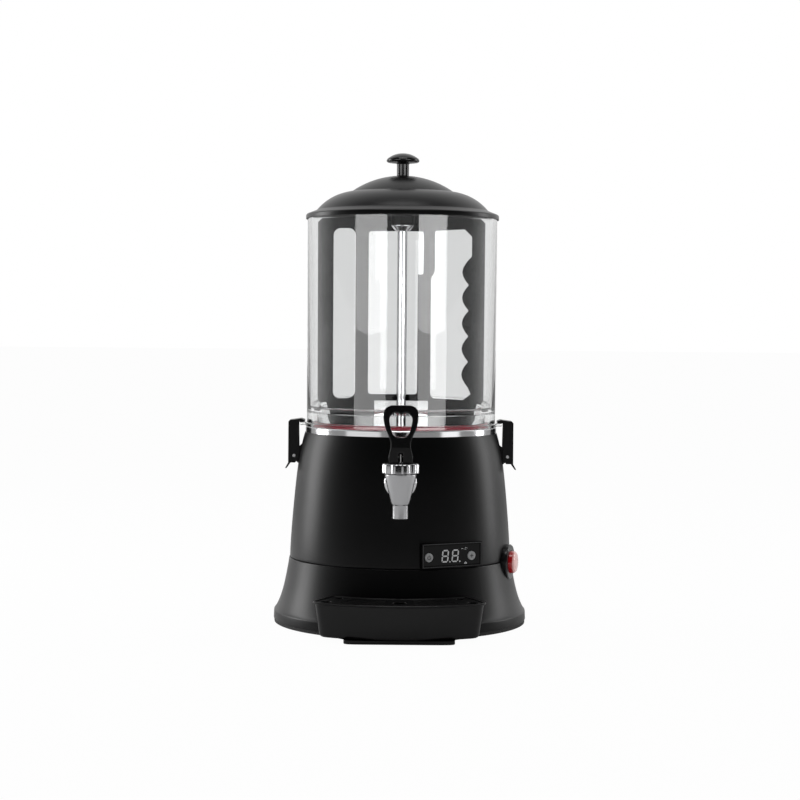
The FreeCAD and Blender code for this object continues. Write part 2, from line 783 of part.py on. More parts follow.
def make_handle(y, low):
    """The pull handle: an open loop on a waisted stem, slotted at the front for the valve stem."""
    half = handle_thickness
    top = handle_top_z
    right_side = [(13.2, low), (13.2, low + 11.0), (11.2, low + 20.0), (12.5, low + 27.0), (18.2, low + 41.0)]
    right_side += [(20.3, low + 54.0), (18.6, top - 4.0), (13.0, top - 0.6), (0.0, top)]
    outer = smooth_outline(right_side, y - half, y + half)
    opening_side = [(0.0, low + 30.0), (6.6, low + 30.6), (9.6, low + 34.0), (12.4, low + 44.0)]
    opening_side += [(13.2, low + 51.0), (11.4, low + 55.0), (0.0, low + 55.8)]
    opening = smooth_outline(opening_side, y - 20, y + 20)
    body = outer.cut(opening)
    taper = slab_side(
        [(y - half, low), (y + half, low), (y + half, low + 18.0), (y + half - 3.0, top), (y - half + 3.0, top),
         (y - half, low + 18.0)],
        -30,
        30,
    )
    body = body.common(taper)
    side = stem_radius + gap
    slot = box(-side, side, y - 20, y + side + 2.6, low - 1, handle_pin_z + 4.4)
    body = body.cut(slot).cut(rod(pin_radius, (-20, y, handle_pin_z), (20, y, handle_pin_z)))
    return body


def smooth_outline(right_side, y0, y1):
    """A shape symmetric about x = 0, its right side a smooth line through (x, z) points."""
    right = curve(right_side, 14)
    left = [(-x, z) for x, z in right if x > 1e-6]
    return slab(right + left[::-1], y0, y1)


def slab_side(points, x0, x1):
    """An outline of (y, z) points drawn across x0 to x1."""
    wire = Part.makePolygon([V(x0, a, b) for a, b in points + points[:1]])
    return Part.Face(wire).extrude(V(x1 - x0, 0, 0))


def make_panel():
    face = panel_face
    border = panel_border
    frame = box(-panel_half, panel_half, -face, -face + 9.0, panel_low_z, panel_high_z)
    opening = box(
        -window_half, window_half, -face - 1, -face + 30, panel_low_z + border, panel_high_z - border
    )
    frame = turn_to(frame.cut(opening), panel_azimuth).cut(body_solid)
    keep("control_bezel", frame)

    clear = 0.15
    sheet_back = -face + 3.0
    sheet = box(
        -window_half + clear, window_half - clear, -face + 0.8, sheet_back,
        panel_low_z + border + clear, panel_high_z - border - clear,
    )
    keys = [
        rod(key_radius + 0.25, (u, -face - 5, key_z), (u, -face + 8, key_z)) for u in key_offsets.values()
    ]
    keep("control_window", turn_to(sheet.cut(Part.makeCompound(keys)), panel_azimuth))
    for name, u in key_offsets.items():
        cap = rod(key_radius, (u, -face - 0.2, key_z), (u, sheet_back + 1.5, key_z))
        cap = cap.makeChamfer(0.4, [min(cap.Edges, key=lambda e: e.CenterOfMass.y)])
        keep("control_key_" + name, turn_to(cap, panel_azimuth))
    board_front = sheet_back + 9.0
    display = box(-17.0, 7.5, sheet_back, board_front, key_z - 9.5, key_z + 10.5)
    keep("display_module", turn_to(display, panel_azimuth))
    board = box(-window_half + 1.0, window_half - 1.0, board_front, board_front + 1.6, 84.0, 106.5)
    switches = []
    for u in key_offsets.values():
        switches.append(rod(2.2, (u, sheet_back + 2.5, key_z), (u, board_front, key_z)))
    for u in (-window_half + 3.0, window_half - 3.0):
        switches.append(rod(1.5, (u, sheet_back, 104.0), (u, board_front, 104.0)))
    keep("control_board", turn_to(board.fuse(switches), panel_azimuth))


def make_button():
    surface = seam_radius
    face = surface + 5.5
    ring = rod(button_bezel_radius, (0, -face, button_z), (0, -surface + 4.0, button_z))
    ring = ring.makeChamfer(1.2, [min(ring.Edges, key=lambda e: e.CenterOfMass.y)])
    neck = rod(button_hole_radius - gap, (0, -surface + 1.0, button_z), (0, -surface + 14.0, button_z))
    bore = rod(button_cap_radius + 0.5, (0, -face - 1, button_z), (0, -surface + 20, button_z))
    sleeve = turn_to(neck.cut(bore), button_azimuth)
    bezel = turn_to(ring.cut(bore), button_azimuth).cut(body_solid).fuse(sleeve)
    keep("button_bezel", bezel.removeSplitter())
    cap_face = face + 7.0
    cap = turned(
        (0.0, surface - 3.0),
        (button_cap_radius, surface - 3.0),
        arc((button_cap_radius, cap_face - 4.0), (button_cap_radius - 1.2, cap_face - 1.2), (button_cap_radius - 4.0, cap_face)),
        (0.0, cap_face),
    )
    cap.rotate(V(0, 0, 0), V(1, 0, 0), 90)
    cap.translate(V(0, 0, button_z))
    keep("power_button", turn_to(cap, button_azimuth))
    switch_front = -surface + 7.0
    body = rod(button_cap_radius, (0, switch_front, button_z), (0, switch_front + 20.0, button_z))
    flange = rod(button_hole_radius - gap, (0, -surface + 14.0, button_z), (0, -surface + 17.0, button_z))
    tabs = [
        box(x - 0.4, x + 0.4, switch_front + 20.0, switch_front + 29.0, button_z - 2.4, button_z + 2.4)
        for x in (-7.0, 0.0, 7.0)
    ]
    keep("switch_body", turn_to(body.fuse([flange] + tabs), button_azimuth))


def tray_block(inset, z0, z1):
    """The tray's fan-shaped block: back curved to the skirt, front on an arc, sides leaning in."""
    taper = 5.5 / (tray_top_z - tray_floor_z)

    def front(z):
        return tray_front_radius - inset - (tray_top_z - z) * taper

    def back(z):
        return radius_at(skirt_points(), z) + tray_skirt_gap + inset

    levels = [z0 + (z1 - z0) * i / 4 for i in range(5)]
    low = skirt_low_z
    back_line = [(max(back(z), base_radius + tray_skirt_gap + inset if z < low + 1 else 0.0), z) for z in levels]
    ring = turned(
        (front(z0), z0), (front(z1), z1), back_line[::-1], angle=120.0,
    )
    ring.rotate(V(0, 0, 0), V(0, 0, 1), -150.0)

    def outline(z):
        lean = (tray_top_z - z) * taper
        near = tray_side_back - inset - lean
        far = tray_side_front - inset - lean
        y_near, y_far = -118.0, -171.0
        slope = (far - near) / (y_near - y_far)
        wide = far + slope * 40.0
        tight = near - slope * 20.0
        return Part.makePolygon([
            V(tight, y_near + 20, z), V(wide, y_far - 40, z), V(-wide, y_far - 40, z),
            V(-tight, y_near + 20, z), V(tight, y_near + 20, z),
        ])

    sides = Part.makeLoft([outline(z0 - 1), outline(z1 + 1)], True, True)
    return ring.common(sides)


def make_tray():
    ledge = 1.4
    ledge_z = tray_top_z - 3.0
    block = tray_block(0.0, tray_floor_z, tray_top_z)
    lip = tray_block(-2.2, tray_top_z - 2.2, tray_top_z)
    behind = rod(base_radius + 60, (0, 0, 0), (0, 0, 60))
    lip = lip.cut(behind.common(turned(
        (0.0, 0.0), (base_radius + tray_skirt_gap, 0.0), [(r + tray_skirt_gap, z) for r, z in skirt_points()][::-1],
        (0.0, seam_z))))
    upper_hollow = tray_block(tray_wall, ledge_z, tray_top_z + 1.0)
    lower_hollow = tray_block(tray_wall + ledge, tray_floor_z + tray_wall, ledge_z + 0.5)
    foot = tray_block(0.0, 0.0, tray_floor_z).common(box(-64, 64, -191, -162, 0.4, tray_floor_z))
    tray = block.fuse([lip, foot]).cut(upper_hollow).cut(lower_hollow)
    keep("drip_tray", tray.removeSplitter())

    plate_low = ledge_z + 0.0
    grille = tray_block(tray_wall + 0.3, plate_low, tray_top_z - 0.8)
    holes = [rod(8.3, (0, -tap_reach, 30), (0, -tap_reach, 60))]
    for radius, size in ((155.0, 4.2), (187.0, 6.2)):
        for angle in (-27.0, 27.0):
            x, y = turned_point(radius, angle)
            holes.append(rod(size, (x, y, 30), (x, y, 60)))
    for radius in (154.0, 164.0, 174.0, 184.0):
        for side in (-1, 1):
            holes.append(arc_slot(radius, 2.0, side * 13.5, 8.0))
    keep("drip_grille", grille.cut(Part.makeCompound(holes)))


def arc_slot(radius, half_width, azimuth, half_angle):
    """A slot that follows an arc about the machine's axis, with square ends."""
    ring = Part.makeCylinder(radius + half_width, 30, V(0, 0, 30), V(0, 0, 1), 2 * half_angle)
    ring = ring.cut(Part.makeCylinder(radius - half_width, 32, V(0, 0, 29)))
    ring.rotate(V(0, 0, 0), V(0, 0, 1), azimuth - half_angle - 90.0)
    return ring


def make_gland():
    z = 40.0
    outer = radius_at(skirt_points(), z)
    bore = 3.6
    neck = rod(7.0, (0, outer - 22.0, z), (0, outer + 1.0, z))
    dome = rod(9.5, (0, outer - 2.0, z), (0, outer + 9.0, z))
    dome = dome.makeChamfer(2.5, [max(dome.Edges, key=lambda e: e.CenterOfMass.y)])
    gland = dome.cut(body_solid).fuse(neck).cut(rod(bore, (0, 0, z), (0, 200, z)))
    parts["lower_skirt"] = parts["lower_skirt"].cut(rod(7.0, (0, outer - 30, z), (0, outer + 10, z)))
    keep("cable_gland", gland.removeSplitter())


make_casing()
make_bowl()
make_tank()
make_lid()
make_stirrer()
make_drive()
make_latches()
make_tap()
make_panel()
make_button()
make_tray()
make_gland()

os.makedirs("parts", exist_ok=True)
for name, shape in parts.items():
    if not shape.isValid():
        print("not valid:", name)
    shape.exportStep("parts/" + name + ".step")
    print(name, len(shape.Solids), "solid, volume", round(shape.Volume))
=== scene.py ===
"""Looks of a countertop hot chocolate dispenser, built around its CAD model. Metres, front towards -Y."""

import json
import math

import bmesh
import bpy
import numpy as np
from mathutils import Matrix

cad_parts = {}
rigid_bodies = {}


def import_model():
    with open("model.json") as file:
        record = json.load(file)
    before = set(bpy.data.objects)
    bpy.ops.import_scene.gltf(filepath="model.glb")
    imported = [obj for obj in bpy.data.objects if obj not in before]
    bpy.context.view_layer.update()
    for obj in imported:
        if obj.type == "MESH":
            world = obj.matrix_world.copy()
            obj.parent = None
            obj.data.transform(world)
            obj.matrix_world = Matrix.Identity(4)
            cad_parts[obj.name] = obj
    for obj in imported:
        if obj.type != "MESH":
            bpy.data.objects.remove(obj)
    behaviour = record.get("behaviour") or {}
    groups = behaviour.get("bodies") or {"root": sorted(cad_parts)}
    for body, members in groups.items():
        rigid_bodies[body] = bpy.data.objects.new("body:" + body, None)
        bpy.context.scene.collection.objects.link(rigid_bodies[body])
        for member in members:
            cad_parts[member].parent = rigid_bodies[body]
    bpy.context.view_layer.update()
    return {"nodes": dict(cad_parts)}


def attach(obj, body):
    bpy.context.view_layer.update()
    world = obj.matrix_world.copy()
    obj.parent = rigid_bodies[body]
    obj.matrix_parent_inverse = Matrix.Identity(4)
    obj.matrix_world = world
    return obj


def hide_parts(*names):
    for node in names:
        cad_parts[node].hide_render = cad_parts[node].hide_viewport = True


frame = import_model()

# Camera. The photograph was taken level with the top of the tap handle from 2.3 m, and cropped lower than the
# lens's axis, so the camera looks level and is shifted down.

picture = 800
focal_pixels = 1850
shift_pixels = (-1.7, -71.0)
camera_place = (0.0, -2.303, 0.3614)
camera_roll = -0.008
view = bpy.data.objects.new("view", bpy.data.cameras.new("view"))
bpy.context.collection.objects.link(view)
view.data.sensor_width = 36.0
view.data.lens = focal_pixels / picture * view.data.sensor_width
view.data.shift_x = shift_pixels[0] / picture
view.data.shift_y = shift_pixels[1] / picture
view.location = camera_place
view.rotation_euler = (math.pi / 2, camera_roll, 0.0)
bpy.context.scene.camera = view
bpy.context.scene.view_settings.view_transform = "Standard"


class Wire:
    """One output of a node. Arithmetic on it adds Math nodes, so a formula reads as it is written."""

    def __init__(self, finish, socket):
        self.finish = finish
        self.socket = socket

    def math(self, operation, *values):
        return self.finish.node("ShaderNodeMath", {"operation": operation}, dict(enumerate(values)))

    def __add__(self, other):
        return self.math("ADD", self, other)

    def __radd__(self, other):
        return self.math("ADD", other, self)

    def __sub__(self, other):
        return self.math("SUBTRACT", self, other)

    def __rsub__(self, other):
        return self.math("SUBTRACT", other, self)

    def __mul__(self, other):
        return self.math("MULTIPLY", self, other)

    def __rmul__(self, other):
        return self.math("MULTIPLY", other, self)

    def between(self, low, high):
        """0 at low and 1 at high, straight between them."""
        settings = {"interpolation_type": "LINEAR"}
        values = {"Value": self, "From Min": low, "From Max": high}
        return self.finish.node("ShaderNodeMapRange", settings, values)


class Finish:
    """A material with one Principled shader. Plain values go on sockets, and feed() links a Wire to one."""

    def __init__(self, name, **plain):
        self.material = bpy.data.materials.new(name)
        self.material.use_nodes = True
        self.tree = self.material.node_tree
        self.shader = self.tree.nodes["Principled BSDF"]
        for socket, value in plain.items():
            self.shader.inputs[socket.replace("_", " ")].default_value = value

    def node(self, kind, settings, values, output=0):
        made = self.tree.nodes.new(kind)
        for name, value in settings.items():
            setattr(made, name, value)
        for name, value in values.items():
            if isinstance(value, Wire):
                self.tree.links.new(value.socket, made.inputs[name])
            else:
                made.inputs[name].default_value = value
        return Wire(self, made.outputs[output])

    def place(self, stretch):
        """The piece's own coordinates, stretched."""
        at = self.node("ShaderNodeTexCoord", {}, {}, "Object")
        return self.node("ShaderNodeMapping", {}, {"Vector": at, "Scale": stretch})

    def noise(self, scale, detail=3.0, stretch=(1.0, 1.0, 1.0)):
        values = {"Vector": self.place(stretch), "Scale": scale, "Detail": detail}
        return self.node("ShaderNodeTexNoise", {}, values)

    def blend(self, share, first, second):
        """A colour between two, by a share from 0 to 1."""
        mixer = self.node("ShaderNodeMix", {"data_type": "RGBA"}, {0: share}).socket.node
        colour_inputs = (mixer.inputs[6], mixer.inputs[7])
        for socket, value in zip(colour_inputs, (first, second)):
            if isinstance(value, Wire):
                self.tree.links.new(value.socket, socket)
            else:
                socket.default_value = (*value, 1.0)
        return Wire(self, mixer.outputs[2])

    def feed(self, socket, wire):
        self.tree.links.new(wire.socket, self.shader.inputs[socket])

    def bump(self, height, distance, strength=1.0):
        values = {"Height": height, "Distance": distance, "Strength": strength}
        self.feed("Normal", self.node("ShaderNodeBump", {}, values, "Normal"))


# Studio. A white sweep stands behind the machine and a pale floor under it. The front of the room is dim, so
# that black paint stays black. Two strips light only the tank and the knob, and two weaker cards only the
# metal and the handle. Two side lamps light all but the tank, and a lamp above lights everything.

floor_mesh = bpy.data.meshes.new("floor")
floor_half = 30.0
floor_corners = [(x * floor_half, y * floor_half, 0) for x, y in ((-1, -1), (1, -1), (1, 1), (-1, 1))]
floor_mesh.from_pydata(floor_corners, [], [(0, 1, 2, 3)])
floor = bpy.data.objects.new("floor", floor_mesh)
bpy.context.collection.objects.link(floor)
ground = Finish("studio_floor", Roughness=0.9, Base_Color=(0.86, 0.86, 0.86, 1.0))
seen = ground.node("ShaderNodeLightPath", {}, {}, "Is Camera Ray")
through = ground.node("ShaderNodeLightPath", {}, {}, "Is Transmission Ray")
glow = ground.node("ShaderNodeEmission", {}, {"Color": (1.0, 1.0, 1.0, 1.0), "Strength": 1.0})
glow_when_seen = 0.97
glow_through_tank = 0.8
share = seen * glow_when_seen + through * glow_through_tank
matt = Wire(ground, ground.shader.outputs[0])
floor_mix = ground.node("ShaderNodeMixShader", {}, {0: share, 1: matt, 2: glow})
ground.tree.links.new(floor_mix.socket, ground.tree.nodes["Material Output"].inputs["Surface"])
floor_mesh.materials.append(ground.material)

world = bpy.data.worlds.new("studio")
world.use_nodes = True
bpy.context.scene.world = world
room = Finish.__new__(Finish)
room.tree = world.node_tree
direction = room.node("ShaderNodeTexCoord", {}, {}, "Generated")
ahead = room.node("ShaderNodeSeparateXYZ", {}, {"Vector": direction}, "Y")
backdrop_from, backdrop_full = -0.05, 0.45
backdrop = ahead.between(backdrop_from, backdrop_full)
camera_ray = room.node("ShaderNodeLightPath", {}, {}, "Is Camera Ray")
clear_ray = room.node("ShaderNodeLightPath", {}, {}, "Is Transmission Ray")
glossy_ray = room.node("ShaderNodeLightPath", {}, {}, "Is Glossy Ray")
white = camera_ray.math("MAXIMUM", camera_ray, clear_ray * backdrop)
fill_behind, fill_all_round = 0.5, 0.2
other = (1 - glossy_ray) * (1 - clear_ray) * (backdrop * fill_behind + fill_all_round)
level = white.math("MAXIMUM", white, glossy_ray * backdrop + other)
background = world.node_tree.nodes["Background"]
world.node_tree.links.new(level.socket, background.inputs["Strength"])
background.inputs["Color"].default_value = (1.0, 1.0, 1.0, 1.0)


def lamp(name, place, target, width, height, watts):
    """A soft rectangular lamp at a place, turned towards a target."""
    light = bpy.data.lights.new(name, "AREA")
    light.shape = "RECTANGLE"
    light.size = width
    light.size_y = height
    light.energy = watts
    made = bpy.data.objects.new(name, light)
    made.location = place
    aim = np.subtract(target, place)
    pitch = math.atan2(math.hypot(aim[0], aim[1]), -aim[2])
    made.rotation_euler = (pitch, 0.0, math.atan2(aim[1], aim[0]) - math.pi / 2)
    bpy.context.collection.objects.link(made)
    return made


base_middle = (0.0, 0.0, 0.25)
tank_middle = (0.0, 0.0, 0.36)
lid_middle = (0.0, 0.0, 0.4)
sides = [
    lamp("lamp_left", (-1.85, 0.55, 0.6), base_middle, width=0.7, height=1.5, watts=22.0),
    lamp("lamp_right", (1.9, 0.6, 0.6), base_middle, width=0.45, height=1.5, watts=11.0),
]
lamp("lamp_above", (0.0, -0.5, 2.2), lid_middle, width=1.2, height=0.8, watts=12.0)
strips = [
    lamp("strip_left", (-1.157, -1.507, 0.36), tank_middle, width=1.35, height=1.1, watts=21.0),
    lamp("strip_right", (1.133, -1.525, 0.36), tank_middle, width=1.19, height=1.1, watts=23.0),
]
cards = [
    lamp("card_left", (-1.34, -1.34, 0.36), tank_middle, width=1.5, height=1.1, watts=3.6),
    lamp("card_right", (1.64, -0.95, 0.36), tank_middle, width=0.8, height=1.1, watts=3.0),
]
lit_by_strips = bpy.data.collections.new("lit_by_strips")
lit_by_cards = bpy.data.collections.new("lit_by_cards")
lit_by_sides = bpy.data.collections.new("lit_by_sides")
for strip in strips:
    strip.light_linking.receiver_collection = lit_by_strips
for card in cards:
    card.light_linking.receiver_collection = lit_by_cards
for side in sides:
    side.light_linking.receiver_collection = lit_by_sides


# Housing. A pressed steel shell, leaning in slowly and rounding in under the bowl, sprayed satin black. The
# sheet is turned about the tank's axis and given its thickness, with holes behind the panel and the button.


def put(name, coordinates, faces, finish, slot, body="root", replaced=(), sharp=35.0):
    """Makes a piece from points and faces, merges its seams and poles, smooths it and rides it on a body."""
    mesh = bpy.data.meshes.new(name)
    mesh.from_pydata(coordinates, [], faces)
    shape = bmesh.new()
    shape.from_mesh(mesh)
    bmesh.ops.remove_doubles(shape, verts=shape.verts, dist=2e-6)
    bmesh.ops.dissolve_degenerate(shape, edges=shape.edges, dist=1e-7)
    bmesh.ops.recalc_face_normals(shape, faces=shape.faces)
    shape.to_mesh(mesh)
    shape.free()
    mesh.polygons.foreach_set("use_smooth", np.ones(len(mesh.polygons), bool))
    mesh.set_sharp_from_angle(angle=math.radians(sharp))
    piece = bpy.data.objects.new(name, mesh)
    bpy.context.collection.objects.link(piece)
    mesh.materials.append(finish.material)
    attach(piece, body)
    if replaced:
        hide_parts(*replaced)
    return piece


def woven(points, around=False, keep=None):
    """Points and four-sided faces of a grid of rows and columns. around joins the last row to the first. The
    last column meets the first where their points agree. keep leaves out the faces that are False."""
    rows, columns = points.shape[:2]
    index = np.arange(rows * columns).reshape(rows, columns)
    if around:
        index = np.vstack([index, index[:1]])
    corners = (index[:-1, :-1], index[:-1, 1:], index[1:, 1:], index[1:, :-1])
    faces = np.stack([c.ravel() for c in corners], axis=1)
    if keep is not None:
        faces = faces[keep.ravel()]
    return points.reshape(-1, 3).tolist(), faces.tolist()


def turned(line, angles):
    """A grid of a (radius, height) line turned about Z through the angles: x = r sin a, y = -r cos a."""
    r, z = np.asarray(line, float).T
    a = np.asarray(angles, float)
    return np.stack([np.outer(r, np.sin(a)), -np.outer(r, np.cos(a)), np.outer(z, np.ones_like(a))], axis=2)


def through_points(places, offsets, count):
    """The polynomial through an outline's points, as count (radius, height) points from low to high."""
    z = np.linspace(places[0], places[-1], count)
    fit = np.polyfit(places, offsets, len(places) - 1)
    return np.column_stack([np.polyval(fit, z), z])


def eased(corners, reach, steps=5, closed=True):
    """Rounds a line's corners. Each becomes a quadratic curve that starts and ends at reach from it."""
    p = np.asarray(corners, float)
    before = np.roll(p, 1, axis=0) - p
    after = np.roll(p, -1, axis=0) - p
    room_before = np.linalg.norm(before, axis=1)
    room_after = np.linalg.norm(after, axis=1)
    r = np.minimum(np.broadcast_to(reach, room_before.shape), 0.48 * np.minimum(room_before, room_after))
    if not closed:
        r = r * np.concatenate([[0.0], np.ones(len(r) - 2), [0.0]])
    start = p + before / np.maximum(room_before, 1e-12)[:, None] * r[:, None]
    end = p + after / np.maximum(room_after, 1e-12)[:, None] * r[:, None]
    t = np.linspace(0.0, 1.0, steps)[None, :, None]
    curve = (1 - t) ** 2 * start[:, None] + 2 * t * (1 - t) * p[:, None] + t**2 * end[:, None]
    return curve.reshape(-1, p.shape[1])


full_turn = np.linspace(0.0, 2 * math.pi, 193)
housing_foot = (0.1364, 0.079)
housing_head = (0.119, 0.233)
lean = housing_foot[0] - housing_head[0]
rise = housing_head[1] - housing_foot[1]
housing_share = np.array([(0.0, 0.0), (0.18, 0.065), (0.46, 0.26), (0.72, 0.50), (1.0, 1.0)])
housing_line = through_points(
    housing_foot[1] + rise * housing_share[:, 0], housing_foot[0] - lean * housing_share[:, 1], 78
)
flange = [(0.1184, 0.2333), (0.1172, 0.2335), (0.109, 0.2335)]
housing_sheet = np.vstack([[(0.1361, 0.0791)], housing_line[1:], flange])
panel_azimuth = math.radians(27.0)
panel_hole_half = 0.0365
panel_hole_heights = (0.0835, 0.1072)
housing_radius_at_panel = 0.1335
panel_hole_sines = np.array([-panel_hole_half, panel_hole_half]) / housing_radius_at_panel
panel_angles = panel_azimuth + np.arcsin(panel_hole_sines)
button_azimuth = math.radians(73.0)
button_height = 0.0777
button_hole_radius = 0.0186
fine = button_azimuth + np.linspace(-0.16, 0.16, 41)
angles = np.unique(np.concatenate([full_turn, panel_angles, fine]))
grid = turned(housing_sheet, angles)


def clear_of_fittings(grid, angles):
    """True for the faces that lie clear of the holes behind the panel and the button."""
    middle = (grid[:-1, :-1] + grid[1:, 1:]) / 2
    a = (angles[:-1] + angles[1:]) / 2
    behind_panel = (a > panel_angles[0]) & (a < panel_angles[1])
    height = middle[:, :, 2]
    panel = behind_panel[None, :] & (height > panel_hole_heights[0]) & (height < panel_hole_heights[1])
    across = middle[:, :, 0] * math.cos(button_azimuth) + middle[:, :, 1] * math.sin(button_azimuth)
    facing = np.cos(a - button_azimuth)[None, :] > 0
    button = (np.hypot(across, height - button_height) < button_hole_radius) & facing
    return ~(panel | button)


satin = Finish("satin_black_paint", Roughness=0.36, Specular_IOR_Level=0.22)
cloudy = satin.noise(9.0, 4.0)
deepest_black = (0.003, 0.003, 0.0032)
satin.feed("Base Color", satin.blend(cloudy, deepest_black, (0.0045, 0.0045, 0.0048)))
peel = satin.noise(750.0, 2.0)
satin.feed("Roughness", cloudy * 0.06 + peel * 0.03 + 0.31)
satin.bump(peel, 0.00004, 0.5)
housing = put("housing_shell", *woven(grid, keep=clear_of_fittings(grid, angles)), satin, "casing_black",
              replaced=["upper_housing"])


def thicken(piece, thickness):
    """Gives a sheet its wall, inwards from the face that shows."""
    wall = piece.modifiers.new("wall", "SOLIDIFY")
    wall.thickness = thickness
    wall.offset = -1.0
    wall.use_even_offset = True


def outwards(piece):
    """Turns a turned sheet's faces so that they look away from the axis."""
    mesh = piece.data
    normals = np.zeros(len(mesh.polygons) * 3)
    centres = np.zeros(len(mesh.polygons) * 3)
    mesh.polygons.foreach_get("normal", normals)
    mesh.polygons.foreach_get("center", centres)
    flat = (normals.reshape(-1, 3) * centres.reshape(-1, 3))[:, :2]
    if flat.sum() < 0:
        mesh.flip_normals()


housing_wall = 0.0012
outwards(housing)
thicken(housing, housing_wall)

# Skirt. The moulded lower part flares in a hollow curve to a rim band above the foot ring, satin black like
# the housing, with a step at the seam and the base plate screwed up under it.

rim_radius = 0.156
rim_top = 0.017
skirt_low = 0.016
skirt_wall = 0.0016
skirt_head = (0.1372, 0.079)
flare = rim_radius - 0.002 - skirt_head[0]
skirt_share = np.array([(0.0, 1.0), (0.18, 0.68), (0.45, 0.38), (0.74, 0.16), (1.0, 0.0)])
skirt_line = through_points(
    skirt_low + (skirt_head[1] - skirt_low) * skirt_share[:, 0], skirt_head[0] + flare * skirt_share[:, 1], 40
)
rim_corners = [(0.1543, 0.004), (rim_radius, 0.004), (0.15555, 0.0146), (0.15405, 0.0162)]
rim_line = eased(rim_corners, 0.0009, closed=False)
step_corners = [skirt_line[-2], skirt_head, (0.1345, 0.0791), (0.1345, 0.0801)]
step_line = eased(step_corners, 0.0007, closed=False)
skirt_sheet = np.vstack([rim_line, skirt_line[1:-2], step_line])
grid = turned(skirt_sheet, angles)
skirt = put("skirt_shell", *woven(grid, keep=clear_of_fittings(grid, angles)), satin, "casing_black",
            replaced=["lower_skirt"])
outwards(skirt)
thicken(skirt, skirt_wall)


def finished(node, finish):
    """Gives a CAD node its finish."""
    mesh = frame["nodes"][node].data
    mesh.materials.clear()
    mesh.materials.append(finish.material)


def refined(node, finish, body="root", sharp=32.0, edge=0.0):
    """A copy of a CAD node with triangles merged into faces, curves smoothed and edges rounded."""
    mesh = frame["nodes"][node].data.copy()
    mesh.name = node + "_form"
    shape = bmesh.new()
    shape.from_mesh(mesh)
    bmesh.ops.remove_doubles(shape, verts=shape.verts, dist=2e-6)
    bmesh.ops.dissolve_limit(shape, angle_limit=math.radians(0.6), verts=shape.verts, edges=shape.edges)
    shape.to_mesh(mesh)
    shape.free()
    mesh.materials.clear()
    mesh.materials.append(finish.material)
    mesh.polygons.foreach_set("use_smooth", np.ones(len(mesh.polygons), bool))
    mesh.set_sharp_from_angle(angle=math.radians(sharp))
    piece = bpy.data.objects.new(node + "_form", mesh)
    bpy.context.collection.objects.link(piece)
    if edge:
        rounding = piece.modifiers.new("edges", "BEVEL")
        rounding.width = edge
        rounding.segments = 2
        rounding.limit_method = "ANGLE"
        rounding.angle_limit = math.radians(sharp)
        rounding.harden_normals = True
    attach(piece, body)
    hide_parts(node)
    return piece


foot_rubber = Finish("foot_rubber", Base_Color=(0.02, 0.02, 0.02, 1.0), Roughness=0.8)
foot_rubber.feed("Roughness", foot_rubber.noise(300.0) * 0.15 + 0.7)
finished("foot_ring", foot_rubber)
zinc = Finish("zinc_plate", Base_Color=(0.5, 0.51, 0.53, 1.0), Metallic=1.0, Roughness=0.42)
zinc.feed("Roughness", zinc.noise(120.0) * 0.25 + 0.3)
for node in ("base_plate", "base_screws", "motor_bracket", "gearmotor", "shaft_collar", "knob_screw"):
    finished(node, zinc)

# Bowl and column. Polished stainless steel: the bowl's turned rim shows as a ring between the housing and the
# tank, and the column stands up through the tank around the stirrer's shaft. The pieces inside are brushed
# steel, bronze and grey lacquer.

polished = Finish("polished_steel", Base_Color=(0.66, 0.66, 0.67, 1.0), Metallic=1.0, Roughness=0.16)
rings = polished.noise(60.0, 2.0, (1.0, 1.0, 40.0))
polished.feed("Roughness", rings * 0.08 + 0.1)
polished.bump(rings, 0.00003, 0.35)
bowl = refined("heated_bowl", polished, edge=0.0004)
column = refined("centre_column", polished, edge=0.0003)
brushed = Finish("brushed_steel", Base_Color=(0.6, 0.6, 0.61, 1.0), Metallic=1.0, Roughness=0.3)
grain = brushed.noise(240.0, 3.0, (1.0, 1.0, 0.06))
brushed.feed("Roughness", grain * 0.14 + 0.22)
brushed.bump(grain, 0.00003, 0.4)
for node in ("water_jacket", "heating_element", "temperature_sensor", "drive_shaft", "tap_locknut"):
    finished(node, brushed)
bronze = Finish("sintered_bronze", Base_Color=(0.5, 0.33, 0.16, 1.0), Metallic=1.0, Roughness=0.5)
bronze.feed("Roughness", bronze.noise(900.0) * 0.2 + 0.4)
finished("lower_bush", bronze)
finished("upper_bush", bronze)
lacquer = Finish("grey_lacquer", Base_Color=(0.2, 0.21, 0.23, 1.0), Roughness=0.45)
lacquer.feed("Roughness", lacquer.noise(200.0) * 0.12 + 0.4)
finished("gearbox", lacquer)

# Tank. One clear moulding 5 mm thick, with a flange and two ears at its foot for the latches, and inside it a
# ledge and a short skirt that press on the seal.

clear = Finish("clear_plastic", Base_Color=(0.9, 0.905, 0.905, 1.0), Roughness=0.0, IOR=1.46,
               Transmission_Weight=1.0)
handling = clear.noise(20.0, 4.0, (1.0, 1.0, 0.4))
clear.feed("Roughness", handling * 0.012)
tank_outside = [(0.1167, 0.5), (0.1179, 0.4988), (0.1168, 0.2453), (0.1193, 0.2451), (0.1193, 0.2412)]
tank_foot = [(0.1118, 0.2412), (0.1118, 0.258), (0.1045, 0.258), (0.1045, 0.2455), (0.1005, 0.2455)]
tank_inside = [(0.1005, 0.263), (0.1098, 0.263), (0.1118, 0.265), (0.1129, 0.4988), (0.1139, 0.5)]
tank_line = eased(tank_outside + tank_foot + tank_inside, 0.0008)
put("clear_tank", *woven(turned(tank_line, full_turn), around=True), clear, "clear_tank",
    replaced=["tank_shell"], sharp=25.0)


